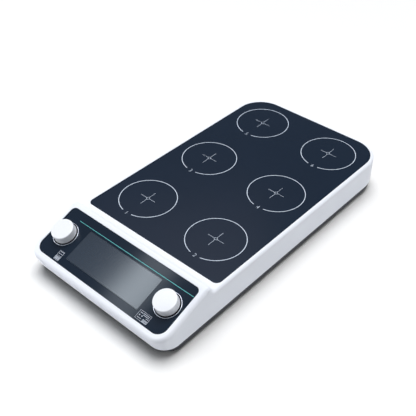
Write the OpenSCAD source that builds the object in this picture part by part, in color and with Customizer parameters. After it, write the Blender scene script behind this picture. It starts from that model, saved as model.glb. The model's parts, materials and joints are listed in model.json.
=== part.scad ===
// Magnetic stirrer with six positions: a low white case with a flush glass worktop,
// a raised sloping console in front, and one flat motor with drive magnets under each position.
// Millimetres. +X is the user's right, +Y the rear, +Z up. The origin is on the bench,
// under the middle of the object.

/* [Case] */
// Width of the case over its side walls
case_w = 183; // [180:1:200]
// Height of the worktop above the bench
worktop_h = 40; // [39:0.5:46]
// Wall thickness of the case
wall = 2.5; // [2:0.1:3]
// Width of the white rim round the worktop
rim_w = 4; // [3.5:0.1:6]
// Fillet on the outer top edge of the rim
rim_fillet = 3; // [1:0.25:3.5]
// Plan radius of the rear corners
rear_corner_r = 34; // [24:1:40]
// Height of the lower edge of the case above the bench
seam_h = 10; // [8:0.5:11]
// Radius of the screw bosses inside the case
boss_r = 4.5; // [4:0.25:5]
// Distance of the screw bosses from the side of the case
boss_inset = 8.5; // [8:0.25:10]
// Thickness of the rib between a boss and the side wall
rib_t = 2; // [1.5:0.1:3]
// Distance of the front bosses from the front edge of the worktop
front_boss = 25; // [20:1:30]

/* [Console] */
// Depth of the console, from the front edge of the worktop to the front of the case
console_d = 76.2; // [75:0.1:90]
// Slope of the control panel, in degrees
panel_tilt = 20.4; // [18:0.1:22]
// White border at each side of the control panel
panel_side = 6.5; // [5.5:0.1:9.5]
// Length of the control panel along its slope
panel_l = 55.3; // [54:0.1:57]
// Height of the lower edge of the panel above the bench
panel_front_h = 27.7; // [26:0.1:30]
// White border in front of the panel, along the slope
front_border = 7.3; // [6:0.1:8]
// White border behind the panel, along the slope
ridge_border = 7; // [6:0.25:8]
// Fillet on the outer top edges of the console
console_fillet = 4; // [2:0.25:4.5]
// Plan radius of the front corners of the console
front_corner_r = 16; // [12:0.5:18]
// Plan radius of the rear corners of the console
ridge_corner_r = 6; // [5:0.5:8]
// Thickness of the overlay sheet on the panel
overlay_t = 0.8; // [0.5:0.1:1.2]
// How far the overlay lies below the white border
overlay_recess = 0.3; // [0:0.1:0.6]
// Radius of the lower corners of the overlay
panel_front_r = 10; // [6:0.5:12]
// Radius of the upper corners of the overlay
panel_rear_r = 5; // [3:0.5:8]

/* [Worktop] */
// Depth of the worktop, front to rear
worktop_l = 275; // [270:1:300]
// Thickness of the glass
glass_t = 4; // [3:0.25:5]
// Radius of the front corners of the glass
worktop_front_r = 6; // [3:0.5:10]
// Width of the ledge that carries the glass
ledge_w = 8; // [6:0.5:10]
// Thickness of that ledge
ledge_t = 2.5; // [2:0.25:3]
// Thickness of the sealing gasket under the glass
gasket_t = 0.5; // [0.3:0.1:1]
// Width of the gasket
gasket_w = 4; // [3:0.25:5]
// Gap between the edge of the glass and the rim
glass_gap = 0.2; // [0.1:0.05:0.4]

/* [Positions] */
// Distance between the two columns of positions
pitch_x = 92.5; // [90:0.5:96]
// Distance from the front edge of the worktop to the first row
first_row = 45; // [42:0.5:48]
// Distance from the rear edge of the worktop to the last row
last_row = 42; // [38:0.5:46]

/* [Display] */
// Distance from a knob's axis to the side of the display window
display_edge = 20.7; // [19:0.1:24]
// Height of the display window along the slope
display_l = 35; // [30:0.5:37]
// Distance from the upper edge of the panel to the window
display_s = 12; // [10:0.25:13]
// Width of the ledge that carries the window
display_ledge = 2; // [1.5:0.25:3]
// Width of the display module's frame beyond its window opening
lcd_frame = 4; // [3:0.25:5]

/* [Knobs] */
// Distance of each knob's axis from the side of the panel
knob_edge = 15.8; // [15:0.1:16.5]
// Radius of a knob
knob_r = 11.7; // [10:0.1:12]
// Height of a knob
knob_h = 8.4; // [7.5:0.1:12]
// Gap between a knob and the panel
knob_gap = 1; // [0.8:0.1:1.5]
// Fillet on the top edge of a knob
knob_fillet = 1; // [0.5:0.1:1.5]
// Wall of a knob
knob_wall = 1.8; // [1.5:0.1:2.2]
// Radius of the hub inside a knob
knob_hub_r = 5; // [4.5:0.1:5.5]
// Radius at the middle of the bright trim ring
trim_r = 13; // [12.8:0.1:14]
// Width of the trim ring
trim_w = 0.5; // [0.4:0.1:1.2]
// Height of the trim ring above the panel
trim_h = 0.4; // [0.3:0.1:0.7]

/* [Encoders] */
// Radius of an encoder shaft
encoder_shaft_r = 3; // [2.5:0.1:3.2]
// Distance from the shaft's axis to its flat
encoder_flat = 2; // [1.6:0.1:2.2]
// Outer radius of the threaded bushing
bushing_r = 3.8; // [3.7:0.1:4.2]
// Width of the nut across its flats
nut_flats = 10; // [9:0.5:10.5]
// Height of the nut
nut_t = 1.6; // [1.2:0.1:2]
// How far the bushing stands out of its nut
bushing_over = 1; // [0.5:0.1:1.2]
// Side of the square encoder housing
encoder_w = 12; // [11.5:0.1:13]
// Height of the encoder housing
encoder_h = 6.5; // [6:0.1:8]
// Thickness of the housing's top
encoder_lid = 1.7; // [1:0.1:1.8]
// Thickness of the housing's floor
encoder_floor = 1.2; // [0.8:0.1:1.4]
// Radius of the rotor inside the housing
encoder_rotor_r = 5; // [4.5:0.1:5.2]
// Travel of a knob when it is pushed
push_travel = 0.5; // [0.3:0.1:0.6]

/* [Motors] */
// Radius of the steel plate that carries a stator
plate_r = 26; // [25:0.25:27]
// Thickness of the stator plate
plate_t = 1.5; // [1:0.1:2]
// Radius of the circle of plate screws
plate_screw_circle = 23; // [22.6:0.1:23.2]
// Outer radius of the rotor cup
cup_r = 20; // [19:0.25:20.25]
// Height of the rotor cup
cup_h = 14; // [13:0.25:15]
// Thickness of the cup's top
cup_top_t = 1.5; // [1.2:0.1:2]
// Thickness of the cup's skirt with its bonded pole ring
cup_wall = 2.8; // [2:0.1:3.2]
// Gap between the cup's skirt and the stator plate
cup_clear = 2; // [1.5:0.1:3]
// Air gap between rotor and stator
air_gap = 0.7; // [0.4:0.05:1]
// Number of stator teeth
teeth = 9; // [6:3:9]
// Width of a stator tooth
tooth_w = 2.4; // [2:0.1:2.6]
// Height of the stator core
core_t = 6; // [5:0.25:6.5]
// Radius of the stator's yoke
yoke_r = 8.6; // [8:0.1:9]
// Radius of a motor shaft
shaft_r = 1.5; // [1.25:0.05:1.75]
// Outer radius of a ball bearing
bearing_r = 4; // [3.5:0.1:4.25]
// Width of a ball bearing
bearing_w = 3; // [2.5:0.1:4]
// Outer radius of the bearing tube
tube_r = 5.5; // [5.2:0.1:6]
// Radius of the flange of the bearing tube
tube_flange_r = 8; // [7:0.25:9]

/* [Drive magnets] */
// Radius of the magnet carrier
carrier_r = 22; // [20:0.25:24]
// Thickness of the magnet carrier
carrier_t = 5; // [4.5:0.1:6]
// Gap between carrier and glass
carrier_gap = 2; // [1.5:0.1:3]
// Radius of a drive magnet
magnet_r = 5; // [4:0.1:5.5]
// Thickness of a drive magnet
magnet_t = 4; // [3:0.1:4]
// Distance of each magnet from the axis
magnet_x = 14; // [13:0.25:15]

/* [Base] */
// Height of the feet below the tray
foot_h = 3; // [2.5:0.25:4]
// Radius of a foot
foot_r = 9; // [7:0.5:11]
// Radius of the stem that holds a foot in the tray
foot_stem_r = 4; // [3:0.25:5]
// Distance between the feet, left to right
foot_pitch_x = 140; // [130:1:146]
// Distance of the feet from the front and the rear of the tray
foot_inset_y = 30; // [26:1:40]
// Thickness of the tray's floor
base_t = 2.5; // [2:0.1:3]
// How far the tray's flange lies inside the case
base_inset = 0.4; // [0.3:0.1:1]
// How far the tray's floor lies inside its flange
tub_inset = 0.8; // [0.5:0.1:1.5]
// How much further in the tray's floor lies at the front
tub_setback = 4; // [3:0.25:5]
// Height of the tray's flange
flange_t = 2.5; // [1.5:0.1:3]
// Height of the locating lip above the seam
lip_h = 3; // [2:0.25:4]
// Thickness of the locating lip
lip_t = 2; // [1.5:0.1:2.5]

/* [Boards] */
// Thickness of a circuit board
board_t = 1.6; // [1:0.1:2]
// Width of the main board
main_board_w = 36; // [34:0.5:37]
// How far the main board runs past the first and last rows
main_board_over = 22; // [18:0.5:24]
// Distance of the end posts of the main board from the first and last rows
board_post_over = 11; // [10:0.25:12]
// How far the control board lies inside the sides of the panel
control_edge = 7; // [6.6:0.1:9]
// Length of the control board along the slope
control_board_l = 43; // [42:0.25:44]
// Distance from a knob's axis to the control board's posts
post_edge = 11.7; // [11:0.1:12.5]
// Radius of a board post
post_r = 2.6; // [2.4:0.1:2.8]
// Width of the ribbon cable
ribbon_w = 20; // [16:1:26]
// Thickness of the ribbon cable and the leads
ribbon_t = 0.9; // [0.7:0.1:1.2]
// Width of a lead
lead_w = 5; // [4:0.5:6]
// Height of a plug header on the main board
header_h = 5; // [4:0.25:6]
// Depth of a plug header
header_d = 6; // [5:0.25:8]

/* [Rear connections] */
// Distance of the power inlet from the middle of the rear wall
jack_x = 11; // [10:0.5:12]
// Distance of the power switch from the middle of the rear wall
switch_x = -13; // [-14:0.5:-12]
// Height of both above the bench
socket_h = 21; // [20:0.25:22]
// Radius of the inlet's flange
jack_flange_r = 7; // [6.5:0.1:7.5]
// Radius of the inlet's barrel
jack_r = 5.2; // [5:0.1:5.5]
// Width of the inlet's nut across its flats
jack_nut_flats = 13.5; // [12.5:0.25:14]
// Depth of the inlet behind the rear wall
jack_d = 11; // [10:0.5:13]
// Radius of the inlet's socket
socket_r = 2.85; // [2.8:0.05:3.2]
// Depth of the inlet's socket
socket_d = 9; // [8:0.25:9.5]
// Radius of the inlet's centre pin
pin_r = 1.05; // [0.9:0.05:1.2]
// Width of the switch bezel
bezel_w = 21; // [20:0.25:22]
// Height of the switch bezel
bezel_h = 15; // [14.5:0.25:16]
// Thickness of the bezel and of the inlet's flange
bezel_t = 1.5; // [1:0.1:2]
// How far the bezel overlaps the opening of the switch
bezel_over = 1.1; // [0.8:0.1:1.3]
// Thickness of the switch body above and below the rocker
switch_wall = 0.9; // [0.7:0.1:1.2]
// Depth of the switch body behind the rear wall
switch_d = 14; // [13:0.5:16]
// Half of the length of the rocker
rocker_half = 7.4; // [7:0.1:7.6]
// Height of the rocker's ends above its pivot
rocker_end = 5.4; // [5.2:0.1:5.8]
// Depth of the rocker's dished middle
rocker_dish = 1; // [0.5:0.1:1.4]
// Depth of the rocker's pivot behind the face of the bezel
pivot_d = 4; // [3.6:0.1:4.2]
// Radius of the rocker's pivot pins
pivot_r = 1.2; // [1:0.1:1.4]
// Tilt of the rocker each way, in degrees
rocker_tilt = 9; // [6:0.5:9]

/* [Fasteners] */
// Radius of a screw's shank
screw_r = 1.4; // [1.2:0.05:1.5]
// Radius of a screw's head
screw_head_r = 2.6; // [2.3:0.1:2.8]
// Height of a screw's head
screw_head_h = 1.2; // [0.8:0.1:1.4]
// Depth that a screw reaches into its boss
screw_grip = 4; // [3:0.25:4.5]
// How much deeper than its screw a pilot hole is
pilot_over = 1; // [0.5:0.1:1.5]

/* [Clearances] */
// Gap between a fixed piece and the opening that it sits in
seat_gap = 0.2; // [0.1:0.05:0.3]
// Running clearance of a shaft in its bore
run_gap = 0.04; // [0.02:0.01:0.08]
// Clearance round pieces that move past others
free_gap = 0.3; // [0.2:0.05:0.5]

/* [Hidden] */
$fn = 64;
eps = 0.01;
far = 400;
fillet_steps = 6;
columns = 2;
rows = 3;
positions = columns * rows;

// Outline of the case, front to rear, centred with the rocker counted in
rocker_out = rocker_end * cos(rocker_tilt) + rocker_half * sin(rocker_tilt) - pivot_d;
rear_reach = bezel_t + rocker_out;
case_d = rim_w + worktop_l + console_d;
front_y = -hundredths((case_d + rear_reach) / 2);
rear_y = front_y + case_d;
half_w = case_w / 2;

// Worktop
worktop_w = case_w - 2 * rim_w;
worktop_rear_y = rear_y - rim_w;
worktop_front_y = worktop_rear_y - worktop_l;
worktop_rear_r = rear_corner_r - rim_w;
glass_under = worktop_h - glass_t;
ledge_top = glass_under - gasket_t;
ledge_under = ledge_top - ledge_t;
window_front_r = 3;
pitch_y = (worktop_l - first_row - last_row) / (rows - 1);

// Panel frame: origin at the middle of the panel's upper edge, on the overlay's face
panel_w = case_w - 2 * panel_side;
slope_l = panel_l + front_border;
panel_top_y = front_y + hundredths((slope_l - console_fillet) * cos(panel_tilt)
    + (overlay_recess - console_fillet) * sin(panel_tilt) + console_fillet);
panel_top_z = hundredths(panel_front_h + panel_l * sin(panel_tilt));
wall_under = -overlay_t - wall;
board_top_h = wall_under - encoder_h;
board_under_h = board_top_h - board_t;
knob_x = panel_w / 2 - knob_edge;
knob_s = panel_l / 2;
hollow_overlap = 15;
console_deep = (panel_top_z + ridge_border) / cos(panel_tilt);
seam_front_h = (seam_h - panel_top_z + slope_l * sin(panel_tilt)) / cos(panel_tilt);
seam_front_y = hundredths(panel_top_y - slope_l * cos(panel_tilt) - seam_front_h * sin(panel_tilt));

// Display
lcd_gap = 0.3;
display_w = 2 * (knob_x - display_edge);
opening_w = display_w - 2 * display_ledge;
opening_l = display_l - 2 * display_ledge;
display_mid = display_s + display_l / 2;

// Encoder heights along the panel's normal
bushing_top = nut_t - overlay_t + bushing_over;
nut_r = nut_flats / sqrt(3);
cavity_top = wall_under - encoder_lid;
cavity_floor = board_top_h + encoder_floor;
shaft_foot = cavity_floor + free_gap + push_travel;
shaft_tip = knob_gap + knob_h - knob_wall;
flat_start = bushing_top + push_travel + 2 * free_gap;

// Base
base_floor = foot_h + base_t;
tray_front_r = hundredths(front_corner_r / cos(panel_tilt));
flange_z = seam_h - flange_t;
boss_x = half_w - boss_inset;
boss_rows = [
    worktop_front_y - front_boss, worktop_front_y + worktop_l / 2, rear_y - rear_corner_r - boss_r
];
foot_edge = 0.8;
foot_rows = [seam_front_y + foot_inset_y, rear_y - foot_inset_y];

// Motor stack, worked down from the glass
carrier_top = glass_under - carrier_gap;
carrier_z = carrier_top - carrier_t;
cup_z = carrier_z - cup_h;
plate_top = cup_z - cup_clear;
plate_z = plate_top - plate_t;
tube_gap = 0.5;
tube_top = carrier_z - cup_top_t - tube_gap;
cup_boss_r = 4;
cup_boss_h = 2;
core_r = cup_r - cup_wall - air_gap;
tip_t = 1.3;
tip_w = 6;
coil_r0 = yoke_r + seat_gap;
coil_r1 = core_r - tip_t - seat_gap;
coil_wall = 1.1;
core_z = (plate_top + tube_top) / 2 - core_t / 2;
plate_screws = 3;
shaft_room = 1;
tube_flange_t = 1.2;
tube_step = 1;

// Boards
main_board_z = plate_z;
main_board_top = main_board_z + board_t;
main_board_front = row_y(0) - main_board_over;
main_board_rear = row_y(rows - 1) + main_board_over;
post_inset = 4;
board_post_x = main_board_w / 2 - post_inset;
board_post_rows = [
    row_y(0) - board_post_over, (row_y(0) + row_y(1)) / 2, row_y(rows - 1) + board_post_over
];
control_board_w = panel_w - 2 * control_edge;
control_s = panel_l / 2 - control_board_l / 2;
post_x = knob_x - post_edge;
post_rows = [control_s + post_inset, control_s + control_board_l - post_inset];
cable_z = main_board_top + header_h / 2;
ribbon_s = 14;
bend_r = 6;
lead_arch = 2.5;
lead_in = 2;
plug_edge = 1.5;
plug = [6, lead_w + 2 * plug_edge, 3];
plug_x = main_board_w / 2 - plug[0] / 2;
lead_straight = 2;

// Switch
switch_w = bezel_w - 2 * bezel_over;
switch_h = bezel_h - 2 * bezel_over;
pocket_h = switch_h - 2 * switch_wall;
rocker_h = pocket_h - 2 * free_gap;
pocket_w = 2 * (rocker_half * cos(rocker_tilt) + rocker_end * sin(rocker_tilt)) + free_gap;
rocker_skirt = 2;
rocker_room = 3;
rocker_hub_r = pivot_r + 1;

fixed_nodes = [
    "upper_case", "base_tray", "worktop", "worktop_gasket", "panel_overlay", "display_window",
    "lcd_module", "control_board", "main_board", "board_parts", "ribbon_cable", "motor_leads",
    "power_leads", "rubber_feet", "base_screws", "motor_screws", "board_screws",
    "stator_plates", "bearing_tubes", "ball_bearings", "stator_cores", "stator_windings",
    "encoder_housings", "encoder_bushings", "encoder_nuts", "knob_trim_rings", "dc_jack", "jack_nut",
    "switch_housing"
];
moving_nodes = [
    "power_rocker", "speed_knob", "timer_knob", "speed_shaft", "timer_shaft",
    "speed_encoder_rotor", "timer_encoder_rotor"
];
rotor_nodes = ["rotor_cup_", "motor_shaft_", "magnet_carrier_", "drive_magnets_"];

// Rounded to hundredths, so that faces that meet have the same place in every piece
function hundredths(v) = round(v * 100) / 100;

// Row 0 is the front row; position 0 is at the front left
function row_y(row) = worktop_rear_y - last_row - (rows - 1 - row) * pitch_y;
function position_x(i) = (i % columns - (columns - 1) / 2) * pitch_x;
function position_y(i) = row_y(floor(i / columns));

// A point of the panel frame, s down the slope and h above the overlay, as world [y, z]
function panel_point(s, h) = [
    panel_top_y - s * cos(panel_tilt) - h * sin(panel_tilt),
    panel_top_z - s * sin(panel_tilt) + h * cos(panel_tilt)
];

// Points of a quarter circle from angle a0, turning anticlockwise
function quarter(center, r, a0) =
    [for (i = [0:fillet_steps]) let (a = a0 + 90 * i / fillet_steps) center + r * [cos(a), sin(a)]];

// Both sides of a strip of thickness t along a path of points
function unit(v) = v / norm(v);
function along(path, i) = unit(path[min(i + 1, len(path) - 1)] - path[max(i - 1, 0)]);
function beside(path, i, d) = path[i] + d * [-along(path, i)[1], along(path, i)[0]];
function strip(path, t) = concat(
    [for (i = [0:len(path) - 1]) beside(path, i, t / 2)],
    [for (i = [len(path) - 1:-1:0]) beside(path, i, -t / 2)]
);

// Helpers that place children
module at_position(i) { translate([position_x(i), position_y(i), 0]) children(); }
module each_position() { for (i = [0:positions - 1]) at_position(i) children(); }
module on_panel() { translate([0, panel_top_y, panel_top_z]) rotate([panel_tilt, 0, 0]) children(); }
module at_knob(side) { on_panel() translate([side * knob_x, -knob_s, 0]) children(); }
module each_knob() { for (side = [-1, 1]) at_knob(side) children(); }
// Local +X points at the side wall
module each_boss() {
    for (turn = [0, 180], y = boss_rows) translate([cos(turn) * boss_x, y, 0]) rotate(turn) children();
}
module each_foot() {
    for (side = [-1, 1], y = foot_rows) translate([side * foot_pitch_x / 2, y, 0]) children();
}
module each_plate_screw() {
    for (i = [0:plate_screws - 1]) rotate(90 + i * 360 / plate_screws)
        translate([plate_screw_circle, 0, 0]) children();
}
module each_board_post() {
    for (side = [-1, 1], y = board_post_rows) translate([side * board_post_x, y, 0]) children();
}
module each_control_post() {
    for (side = [-1, 1], s = post_rows) translate([side * post_x, -s, 0]) children();
}
module in_rear_wall(x) { translate([x, rear_y, socket_h]) rotate([-90, 0, 0]) children(); }

// Rounded outline, straight in the middle, with its own radius at front and rear
module outline(w, y0, y1, r0, r1) {
    translate([-w / 2, y0 + r0]) square([w, y1 - r1 - y0 - r0]);
    translate([-w / 2 + r0, y0]) square([w - 2 * r0, 2 * r0]);
    translate([-w / 2 + r1, y1 - 2 * r1]) square([w - 2 * r1, 2 * r1]);
    for (side = [-1, 1]) {
        translate([side * (w / 2 - r0), y0 + r0]) circle(r0);
        translate([side * (w / 2 - r1), y1 - r1]) circle(r1);
    }
}

// Outline of the worktop, grown by d
module worktop_outline(d) {
    outline(worktop_w + 2 * d, worktop_front_y - d, worktop_rear_y + d,
        worktop_front_r + d, worktop_rear_r + d);
}

// Outline of the tray, d inside the lower edge of the case and set back at the front
module base_outline(d, setback = 0) {
    outline(case_w - 2 * d, seam_front_y + d + setback, rear_y - d, tray_front_r - d, rear_corner_r - d);
}

// Outline of the overlay, grown by d, in the panel frame
module panel_outline(d) {
    outline(panel_w + 2 * d, -panel_l - d, d, panel_front_r + d, panel_rear_r + d);
}

// Quarter round of a fillet, its corner at the origin
module quarter_round(f) {
    intersection() {
        circle(f);
        square(f);
    }
}

// Straight bar and turned corner of a fillet that runs round the top of a slab
module fillet_bar(f, length) {
    rotate([90, 0, 0]) linear_extrude(length) quarter_round(f);
}
module fillet_corner(f, r) {
    rotate_extrude(angle = 90) translate([r - f, 0]) quarter_round(f);
}

// Slab with the rounded outline and a fillet f round its top edge, from z0 to z1
module filleted_slab(w, y0, y1, r0, r1, f, z0, z1) {
    mid_l = y1 - r1 - y0 - r0;
    translate([0, 0, z0]) linear_extrude(z1 - f - z0) outline(w, y0, y1, r0, r1);
    translate([0, 0, z1 - f]) {
        linear_extrude(f) outline(w - 2 * f, y0 + f, y1 - f, r0 - f, r1 - f);
        translate([w / 2 - f, y1 - r1, 0]) fillet_bar(f, mid_l);
        translate([-w / 2 + f, y0 + r0, 0]) rotate(180) fillet_bar(f, mid_l);
        translate([-w / 2 + r1, y1 - f, 0]) rotate(90) fillet_bar(f, w - 2 * r1);
        translate([w / 2 - r0, y0 + f, 0]) rotate(-90) fillet_bar(f, w - 2 * r0);
        translate([w / 2 - r1, y1 - r1, 0]) fillet_corner(f, r1);
        translate([-w / 2 + r1, y1 - r1, 0]) rotate(90) fillet_corner(f, r1);
        translate([-w / 2 + r0, y0 + r0, 0]) rotate(180) fillet_corner(f, r0);
        translate([w / 2 - r0, y0 + r0, 0]) rotate(270) fillet_corner(f, r0);
    }
}

// Flat cable of width w at x, along a path of world [y, z] points
module cable(x, w, path) {
    translate([x + w / 2, 0, 0]) rotate([90, 0, -90]) mirror([1, 0, 0])
        linear_extrude(w) polygon(strip(path, ribbon_t));
}

// Screw with its head below z = 0 and its shank reaching up
module screw(length) {
    translate([0, 0, -screw_head_h]) cylinder(r = screw_head_r, h = screw_head_h);
    cylinder(r = screw_r, h = length);
}

// Shaft section with its flat, grown by gap
module flatted_circle(gap) {
    difference() {
        circle(encoder_shaft_r + gap);
        translate([-encoder_shaft_r * 2, encoder_flat + gap]) square(encoder_shaft_r * 4);
    }
}

// Outside of the case: the worktop body and the sloping console
module case_body() {
    filleted_slab(case_w, panel_top_y, rear_y, ridge_corner_r, rear_corner_r,
        rim_fillet, seam_h, worktop_h);
    difference() {
        on_panel() filleted_slab(case_w, -slope_l, ridge_border, front_corner_r, ridge_corner_r,
            console_fillet, -console_deep, overlay_recess);
        translate([-far / 2, -far / 2, seam_h - far]) cube(far);
    }
}

// Hollow inside the case, open below
module case_hollow() {
    inner_w = case_w - 2 * wall;
    translate([0, 0, seam_h - eps]) linear_extrude(ledge_under - seam_h + eps)
        outline(inner_w, panel_top_y - hollow_overlap, rear_y - wall,
            ridge_corner_r - wall, rear_corner_r - wall);
    on_panel() translate([0, 0, wall_under - console_deep]) linear_extrude(console_deep)
        outline(inner_w, -slope_l + wall, ridge_border - wall,
            front_corner_r - wall, ridge_corner_r - wall);
}

module upper_case() {
    boss_h = ledge_under - base_floor + eps;
    color("whitesmoke") {
        difference() {
            case_body();
            case_hollow();
            translate([0, 0, ledge_top]) linear_extrude(far) worktop_outline(glass_gap);
            linear_extrude(worktop_h) outline(worktop_w - 2 * ledge_w, worktop_front_y + ledge_w,
                worktop_rear_y - ledge_w, window_front_r, worktop_rear_r - ledge_w);
            on_panel() translate([0, 0, -overlay_t]) linear_extrude(far) panel_outline(seat_gap);
            on_panel() translate([-opening_w / 2, -display_mid - opening_l / 2, -far / 2])
                cube([opening_w, opening_l, far]);
            each_knob() translate([0, 0, -console_deep]) cylinder(r = bushing_r + seat_gap, h = far);
            in_rear_wall(jack_x) cylinder(r = jack_r + seat_gap, h = 4 * wall, center = true);
            in_rear_wall(switch_x)
                cube([switch_w + 2 * seat_gap, switch_h + 2 * seat_gap, 4 * wall], center = true);
        }
        difference() {
            each_boss() translate([0, 0, base_floor]) {
                cylinder(r = boss_r, h = boss_h);
                translate([0, -rib_t / 2, 0]) cube([boss_inset - wall + eps, rib_t, boss_h]);
            }
            each_boss() cylinder(r = screw_r + run_gap, h = base_floor + screw_grip + pilot_over);
        }
        on_panel() difference() {
            each_control_post() translate([0, 0, board_top_h]) cylinder(r = post_r, h = encoder_h + eps);
            each_control_post() translate([0, 0, board_top_h - eps])
                cylinder(r = screw_r + run_gap, h = screw_grip + pilot_over);
        }
    }
}

module base_tray() {
    lip_out = wall + seat_gap;
    color("darkslategray") difference() {
        union() {
            translate([0, 0, foot_h]) linear_extrude(seam_h - foot_h)
                base_outline(base_inset + tub_inset, tub_setback);
            translate([0, 0, flange_z]) linear_extrude(flange_t) base_outline(base_inset);
            translate([0, 0, flange_z]) linear_extrude(flange_t + lip_h) base_outline(lip_out);
        }
        difference() {
            translate([0, 0, base_floor]) linear_extrude(far) base_outline(lip_out + lip_t, tub_setback);
            each_position() each_plate_screw() cylinder(r = post_r, h = plate_z);
            each_board_post() cylinder(r = post_r, h = main_board_z);
        }
        each_boss() translate([0, 0, base_floor]) {
            cylinder(r = boss_r + seat_gap, h = far);
            translate([0, -rib_t / 2 - seat_gap, 0])
                cube([boss_inset - wall + seat_gap, rib_t + 2 * seat_gap, far]);
        }
        each_boss() cylinder(r = screw_r + seat_gap, h = far);
        each_boss() cylinder(r = screw_head_r + seat_gap, h = foot_h + screw_head_h);
        each_foot() cylinder(r = foot_stem_r, h = far);
        each_position() each_plate_screw() translate([0, 0, plate_z - screw_grip - pilot_over])
            cylinder(r = screw_r + run_gap, h = far);
        each_board_post() translate([0, 0, main_board_z - screw_grip - pilot_over])
            cylinder(r = screw_r + run_gap, h = far);
    }
}

module worktop() {
    color("midnightblue") translate([0, 0, glass_under]) linear_extrude(glass_t) worktop_outline(0);
}

module worktop_gasket() {
    color("black") translate([0, 0, ledge_top]) linear_extrude(gasket_t) difference() {
        worktop_outline(-seat_gap);
        worktop_outline(-seat_gap - gasket_w);
    }
}

module panel_overlay() {
    color("midnightblue") on_panel() translate([0, 0, -overlay_t]) linear_extrude(overlay_t) difference() {
        panel_outline(0);
        translate([-display_w / 2 - seat_gap, -display_s - display_l - seat_gap])
            square([display_w + 2 * seat_gap, display_l + 2 * seat_gap]);
        for (side = [-1, 1]) translate([side * knob_x, -knob_s]) circle(nut_r + free_gap);
    }
}

module display_window() {
    color("slategray") on_panel() translate([-display_w / 2, -display_s - display_l, -overlay_t])
        cube([display_w, display_l, overlay_t]);
}

module lcd_module() {
    glass_w = opening_w - 2 * seat_gap;
    glass_l = opening_l - 2 * seat_gap;
    frame_w = opening_w + 2 * lcd_frame;
    frame_l = opening_l + 2 * lcd_frame;
    color("gray") on_panel() translate([0, -display_mid, board_top_h]) {
        translate([-frame_w / 2, -frame_l / 2, 0]) cube([frame_w, frame_l, encoder_h - lcd_gap]);
        translate([-glass_w / 2, -glass_l / 2, 0]) cube([glass_w, glass_l, encoder_h + wall - lcd_gap]);
    }
}

module control_board() {
    color("darkgreen") on_panel() difference() {
        translate([-control_board_w / 2, -control_s - control_board_l, board_under_h])
            cube([control_board_w, control_board_l, board_t]);
        each_control_post() translate([0, 0, board_under_h - eps])
            cylinder(r = screw_r + seat_gap, h = board_t + 2 * eps);
    }
}

module main_board() {
    color("darkgreen") difference() {
        translate([-main_board_w / 2, main_board_front, main_board_z])
            cube([main_board_w, main_board_rear - main_board_front, board_t]);
        each_board_post() translate([0, 0, main_board_z - eps])
            cylinder(r = screw_r + seat_gap, h = board_t + 2 * eps);
    }
}

// Driver chips, plug headers, capacitors and a coil on the main board
module board_parts() {
    chip = [7, 7, 1.2];
    chip_x = 6;
    cap_r = 4;
    cap_h = 9;
    cap_x = 5;
    choke = [11, 11, 5];
    choke_y = (row_y(0) + row_y(1)) / 2 + 14;
    header_edge = 1;
    front_header_w = ribbon_w + 2 * header_edge;
    rear_header_w = main_board_w - 4 * header_edge;
    color("dimgray") translate([0, 0, main_board_top]) {
        for (i = [0:positions - 1]) {
            side = sign(position_x(i));
            translate([side * chip_x - chip[0] / 2, position_y(i) - chip[1] / 2, 0]) cube(chip);
            translate([side * plug_x - plug[0] / 2, position_y(i) - plug[1] / 2, 0]) cube(plug);
        }
        translate([-front_header_w / 2, main_board_front, 0]) cube([front_header_w, header_d, header_h]);
        translate([-rear_header_w / 2, main_board_rear - header_d, 0])
            cube([rear_header_w, header_d, header_h]);
        for (side = [-1, 1]) translate([side * cap_x, (row_y(1) + row_y(2)) / 2, 0])
            cylinder(r = cap_r, h = cap_h);
        translate([-choke[0] / 2, choke_y, 0]) cube(choke);
    }
}

// Flat cable from the control board down to the front of the main board
module ribbon_cable() {
    start = panel_point(control_s + ribbon_s, board_under_h);
    bend = [start[0] + bend_r, cable_z + bend_r];
    path = concat([start], quarter(bend, bend_r, 180), [[main_board_front, cable_z]]);
    color("lightgray") intersection() {
        cable(0, ribbon_w, concat([start + [0, header_h]], path));
        on_panel() translate([-far / 2, -far / 2, board_under_h - far]) cube(far);
    }
}

// Short three-wire lead from each stator plate over to its plug on the main board
module motor_leads() {
    x0 = plug_x;
    x1 = pitch_x / 2 - plate_r + lead_in;
    plug_h = plug[2];
    top = max(plate_top, main_board_top + plug_h) + lead_arch;
    color("firebrick") for (i = [0:positions - 1]) translate([0, position_y(i) - lead_w / 2, 0])
        mirror([position_x(i) < 0 ? 1 : 0, 0, 0]) {
            translate([x0 - ribbon_t / 2, 0, main_board_top + plug_h])
                cube([ribbon_t, lead_w, top - main_board_top - plug_h]);
            translate([x1 - ribbon_t / 2, 0, plate_top]) cube([ribbon_t, lead_w, top - plate_top]);
            translate([x0 - ribbon_t / 2, 0, top - ribbon_t]) cube([x1 - x0 + ribbon_t, lead_w, ribbon_t]);
        }
}

// Leads from the power inlet and from the switch to the rear of the main board
module power_leads() {
    color("firebrick") for (lead = [[jack_x, jack_d], [switch_x, switch_d]]) {
        start = [rear_y - lead[1], socket_h];
        bend = (start[0] + main_board_rear) / 2;
        path = [start, [start[0] - lead_straight, socket_h], [bend, (socket_h + cable_z) / 2],
            [main_board_rear + lead_straight, cable_z], [main_board_rear, cable_z]];
        cable(lead[0], lead_w, path);
    }
}

module rubber_feet() {
    color("black") each_foot() rotate_extrude() polygon([
        [0, 0], [foot_r - foot_edge, 0], [foot_r, foot_edge], [foot_r, foot_h], [foot_stem_r, foot_h],
        [foot_stem_r, base_floor], [0, base_floor]
    ]);
}

module base_screws() {
    color("silver") each_boss() translate([0, 0, foot_h + screw_head_h])
        screw(base_t - screw_head_h + screw_grip);
}

module motor_screws() {
    color("silver") each_position() each_plate_screw() translate([0, 0, plate_top]) mirror([0, 0, 1])
        screw(plate_t + screw_grip);
}

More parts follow.
